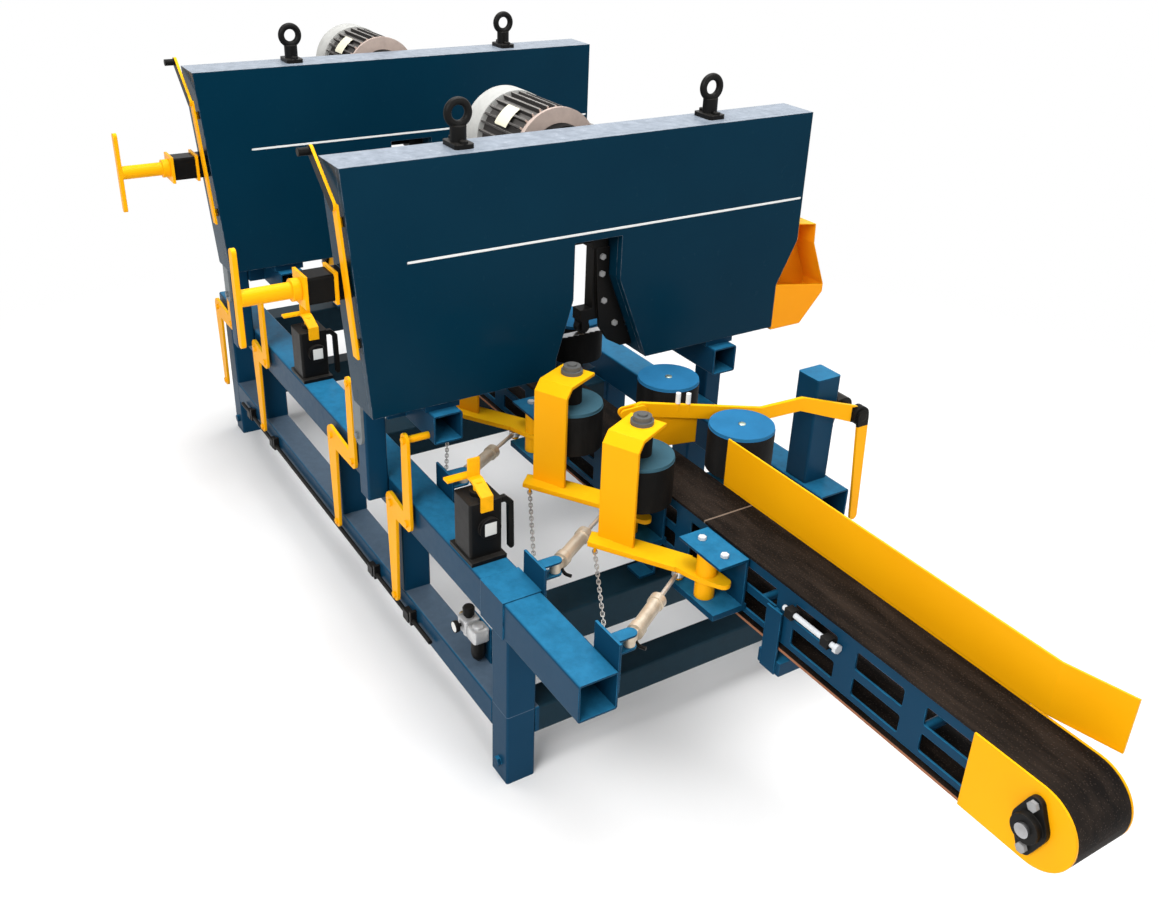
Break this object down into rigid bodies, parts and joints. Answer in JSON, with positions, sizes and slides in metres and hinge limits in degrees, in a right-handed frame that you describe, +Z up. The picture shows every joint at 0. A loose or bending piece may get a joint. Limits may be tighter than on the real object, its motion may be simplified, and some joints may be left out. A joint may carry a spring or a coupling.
{
  "type": "horizontal band resaw",
  "caption": "Horizontal band resaw with saw heads over a belt conveyor, swinging press rolls, a fence and a square-tube floor frame.",
  "frame": {"origin": "on the floor under the middle of the bounding box", "axes": "+X along the conveyor towards its nose, +Y across towards the fence side, +Z up"},
  "size_m": [4.49, 2.185, 1.9959],
  "materials": {
    "frame_blue": "semi-gloss",
    "machine_yellow": "semi-gloss",
    "black_metal": "satin",
    "bare_steel": "machined",
    "band_steel": "ground",
    "wheel_iron": "machined rim",
    "belt_rubber": "worn",
    "roll_rubber": "matt",
    "drive_rubber": "matt",
    "motor_paint": "semi-gloss",
    "cylinder_metal": "satin",
    "chain_steel": "zinc"
  },
  "bodies": {
    "base": {"floor_frame": "frame_blue", "lift_gearboxes": "black_metal", "conveyor_bed": "frame_blue", "conveyor_belt": "belt_rubber", "end_plates": "machine_yellow", "bearing_units": "black_metal", "gearmotor": "frame_blue", "fence": "machine_yellow", "press_brackets": "frame_blue", "limit_chains": "chain_steel"},
    "nose_pulley": {"nose_pulley": "bare_steel"},
    "tail_pulley": {"tail_pulley": "bare_steel"},
    "hold_down": {"hold_down_arm": "machine_yellow"},
    "fence_roll_1": {"fence_roll_1": "roll_rubber"},
    "press_arm_1": {"press_arm_1": "machine_yellow"},
    "press_roll_1": {"press_roll_1": "roll_rubber"},
    "cylinder_1": {"cylinder_1": "cylinder_metal"},
    "cylinder_rod_1": {"cylinder_rod_1": "bare_steel"},
    "fence_roll_2": {"fence_roll_2": "roll_rubber"},
    "press_arm_2": {"press_arm_2": "machine_yellow"},
    "press_roll_2": {"press_roll_2": "roll_rubber"},
    "cylinder_2": {"cylinder_2": "cylinder_metal"},
    "cylinder_rod_2": {"cylinder_rod_2": "bare_steel"},
    "fence_roll_3": {"fence_roll_3": "roll_rubber"},
    "press_arm_3": {"press_arm_3": "machine_yellow"},
    "press_roll_3": {"press_roll_3": "roll_rubber"},
    "cylinder_3": {"cylinder_3": "cylinder_metal"},
    "cylinder_rod_3": {"cylinder_rod_3": "bare_steel"},
    "head_1": {"head_housing_1": "frame_blue", "head_cover_1": "frame_blue", "hoist_rings_1": "black_metal", "motor_1": "motor_paint", "drive_belt_1": "drive_rubber", "saw_band_1": "band_steel", "chute_1": "machine_yellow", "latch_bar_1": "machine_yellow", "carriage_1": "frame_blue", "lift_hangers_1": "machine_yellow"},
    "motor_pulley_1": {"motor_pulley_1": "wheel_iron"},
    "drive_wheel_1": {"drive_wheel_1": "wheel_iron"},
    "idle_wheel_1": {"idle_wheel_1": "wheel_iron"},
    "tension_handle_1": {"tension_handle_1": "machine_yellow"},
    "tension_slide_1": {"tension_slide_1": "wheel_iron"},
    "guide_arm_1": {"guide_arm_1": "black_metal"},
    "head_2": {"head_housing_2": "frame_blue", "head_cover_2": "frame_blue", "hoist_rings_2": "black_metal", "motor_2": "motor_paint", "drive_belt_2": "drive_rubber", "saw_band_2": "band_steel", "chute_2": "machine_yellow", "latch_bar_2": "machine_yellow", "carriage_2": "frame_blue", "lift_hangers_2": "machine_yellow"},
    "motor_pulley_2": {"motor_pulley_2": "wheel_iron"},
    "drive_wheel_2": {"drive_wheel_2": "wheel_iron"},
    "idle_wheel_2": {"idle_wheel_2": "wheel_iron"},
    "tension_handle_2": {"tension_handle_2": "machine_yellow"},
    "tension_slide_2": {"tension_slide_2": "wheel_iron"},
    "guide_arm_2": {"guide_arm_2": "black_metal"}
  },
  "joints": [
    {"name": "nose_pulley_spin", "type": "hinge", "parent": "base", "child": "nose_pulley", "pos_m": [2.1347, 0.0655, 0.7897], "axis": [0, 1, 0], "continuous": true},
    {"name": "tail_pulley_spin", "type": "hinge", "parent": "base", "child": "tail_pulley", "pos_m": [-2.1347, 0.0655, 0.7897], "axis": [0, 1, 0], "continuous": true},
    {"name": "hold_down_lift", "type": "hinge", "parent": "base", "child": "hold_down", "pos_m": [0.618, 0.7875, 0.96], "axis": [-1, 0, 0], "range_deg": [0, 8]},
    {"name": "fence_roll_1_spin", "type": "hinge", "parent": "base", "child": "fence_roll_1", "pos_m": [0.727, 0.2585, 0.985], "axis": [0, 0, 1], "continuous": true},
    {"name": "press_arm_1_swing", "type": "hinge", "parent": "base", "child": "press_arm_1", "pos_m": [1.042, -0.0995, 0.8], "axis": [0, 0, 1], "range_deg": [-15, 8], "deforming": ["limit_chains"]},
    {"name": "press_roll_1_spin", "type": "hinge", "parent": "press_arm_1", "child": "press_roll_1", "pos_m": [0.727, -0.1295, 0.985], "axis": [0, 0, 1], "continuous": true},
    {"name": "cylinder_1_swivel", "type": "hinge", "parent": "base", "child": "cylinder_1", "pos_m": [1.132, -0.423, 0.76], "axis": [0, 0, 1], "range_deg": [-3, 3]},
    {"name": "cylinder_rod_1_stroke", "type": "slide", "parent": "cylinder_1", "child": "cylinder_rod_1", "axis": [-0.5306, 0.8476, 0], "range_m": [-0.02, 0.03]},
    {"name": "fence_roll_2_spin", "type": "hinge", "parent": "base", "child": "fence_roll_2", "pos_m": [0.335, 0.2585, 0.985], "axis": [0, 0, 1], "continuous": true},
    {"name": "press_arm_2_swing", "type": "hinge", "parent": "base", "child": "press_arm_2", "pos_m": [0.65, -0.0995, 0.8], "axis": [0, 0, 1], "range_deg": [-15, 8], "deforming": ["limit_chains"]},
    {"name": "press_roll_2_spin", "type": "hinge", "parent": "press_arm_2", "child": "press_roll_2", "pos_m": [0.335, -0.1295, 0.985], "axis": [0, 0, 1], "continuous": true},
    {"name": "cylinder_2_swivel", "type": "hinge", "parent": "base", "child": "cylinder_2", "pos_m": [0.74, -0.423, 0.76], "axis": [0, 0, 1], "range_deg": [-3, 3]},
    {"name": "cylinder_rod_2_stroke", "type": "slide", "parent": "cylinder_2", "child": "cylinder_rod_2", "axis": [-0.5306, 0.8476, 0], "range_m": [-0.02, 0.03]},
    {"name": "fence_roll_3_spin", "type": "hinge", "parent": "base", "child": "fence_roll_3", "pos_m": [-0.265, 0.2585, 0.985], "axis": [0, 0, 1], "continuous": true},
    {"name": "press_arm_3_swing", "type": "hinge", "parent": "base", "child": "press_arm_3", "pos_m": [0.05, -0.0995, 0.8], "axis": [0, 0, 1], "range_deg": [-15, 8], "deforming": ["limit_chains"]},
    {"name": "press_roll_3_spin", "type": "hinge", "parent": "press_arm_3", "child": "press_roll_3", "pos_m": [-0.265, -0.1295, 0.985], "axis": [0, 0, 1], "continuous": true},
    {"name": "cylinder_3_swivel", "type": "hinge", "parent": "base", "child": "cylinder_3", "pos_m": [0.14, -0.423, 0.76], "axis": [0, 0, 1], "range_deg": [-3, 3]},
    {"name": "cylinder_rod_3_stroke", "type": "slide", "parent": "cylinder_3", "child": "cylinder_rod_3", "axis": [-0.5306, 0.8476, 0], "range_m": [-0.02, 0.03]},
    {"name": "head_1_height", "type": "slide", "parent": "base", "child": "head_1", "axis": [0, 0, 1], "range_m": [-0.12, 0.06]},
    {"name": "drive_wheel_1_spin", "type": "hinge", "parent": "head_1", "child": "drive_wheel_1", "pos_m": [0.066, 0.5355, 1.487], "axis": [1, 0, 0], "continuous": true},
    {"name": "motor_pulley_1_spin", "type": "hinge", "parent": "head_1", "child": "motor_pulley_1", "pos_m": [-0.064, 0.0555, 1.742], "axis": [1, 0, 0], "continuous": true},
    {"name": "tension_handle_1_turn", "type": "hinge", "parent": "head_1", "child": "tension_handle_1", "pos_m": [0.066, -0.9345, 1.487], "axis": [0, 1, 0], "range_deg": [-30, 590]},
    {"name": "tension_slide_1_travel", "type": "slide", "parent": "head_1", "child": "tension_slide_1", "axis": [0, 1, 0], "range_m": [0, 0.009]},
    {"name": "idle_wheel_1_spin", "type": "hinge", "parent": "tension_slide_1", "child": "idle_wheel_1", "pos_m": [0.066, -0.4045, 1.487], "axis": [1, 0, 0], "continuous": true},
    {"name": "guide_arm_1_travel", "type": "slide", "parent": "head_1", "child": "guide_arm_1", "axis": [0, 1, 0], "range_m": [-0.06, 0]},
    {"name": "head_2_height", "type": "slide", "parent": "base", "child": "head_2", "axis": [0, 0, 1], "range_m": [-0.12, 0.06]},
    {"name": "drive_wheel_2_spin", "type": "hinge", "parent": "head_2", "child": "drive_wheel_2", "pos_m": [-1.379, 0.5355, 1.487], "axis": [1, 0, 0], "continuous": true},
    {"name": "motor_pulley_2_spin", "type": "hinge", "parent": "head_2", "child": "motor_pulley_2", "pos_m": [-1.509, 0.0555, 1.742], "axis": [1, 0, 0], "continuous": true},
    {"name": "tension_handle_2_turn", "type": "hinge", "parent": "head_2", "child": "tension_handle_2", "pos_m": [-1.379, -0.9345, 1.487], "axis": [0, 1, 0], "range_deg": [-30, 590]},
    {"name": "tension_slide_2_travel", "type": "slide", "parent": "head_2", "child": "tension_slide_2", "axis": [0, 1, 0], "range_m": [0, 0.009]},
    {"name": "idle_wheel_2_spin", "type": "hinge", "parent": "tension_slide_2", "child": "idle_wheel_2", "pos_m": [-1.379, -0.4045, 1.487], "axis": [1, 0, 0], "continuous": true},
    {"name": "guide_arm_2_travel", "type": "slide", "parent": "head_2", "child": "guide_arm_2", "axis": [0, 1, 0], "range_m": [-0.06, 0]}
  ],
  "couplings": [
    {"joint": "tail_pulley_spin", "follows": "nose_pulley_spin", "ratio": 1},
    {"joint": "cylinder_1_swivel", "follows": "press_arm_1_swing", "ratio": 0.115},
    {"joint": "cylinder_rod_1_stroke", "follows": "press_arm_1_swing", "m_per_rad": -0.0942},
    {"joint": "cylinder_2_swivel", "follows": "press_arm_2_swing", "ratio": 0.115},
    {"joint": "cylinder_rod_2_stroke", "follows": "press_arm_2_swing", "m_per_rad": -0.0942},
    {"joint": "cylinder_3_swivel", "follows": "press_arm_3_swing", "ratio": 0.115},
    {"joint": "cylinder_rod_3_stroke", "follows": "press_arm_3_swing", "m_per_rad": -0.0942},
    {"joint": "motor_pulley_1_spin", "follows": "drive_wheel_1_spin", "ratio": 1.5556},
    {"joint": "idle_wheel_1_spin", "follows": "drive_wheel_1_spin", "ratio": 1},
    {"joint": "tension_handle_1_turn", "follows": "tension_slide_1_travel", "rad_per_m": 1047.2},
    {"joint": "motor_pulley_2_spin", "follows": "drive_wheel_2_spin", "ratio": 1.5556},
    {"joint": "idle_wheel_2_spin", "follows": "drive_wheel_2_spin", "ratio": 1},
    {"joint": "tension_handle_2_turn", "follows": "tension_slide_2_travel", "rad_per_m": 1047.2}
  ]
}
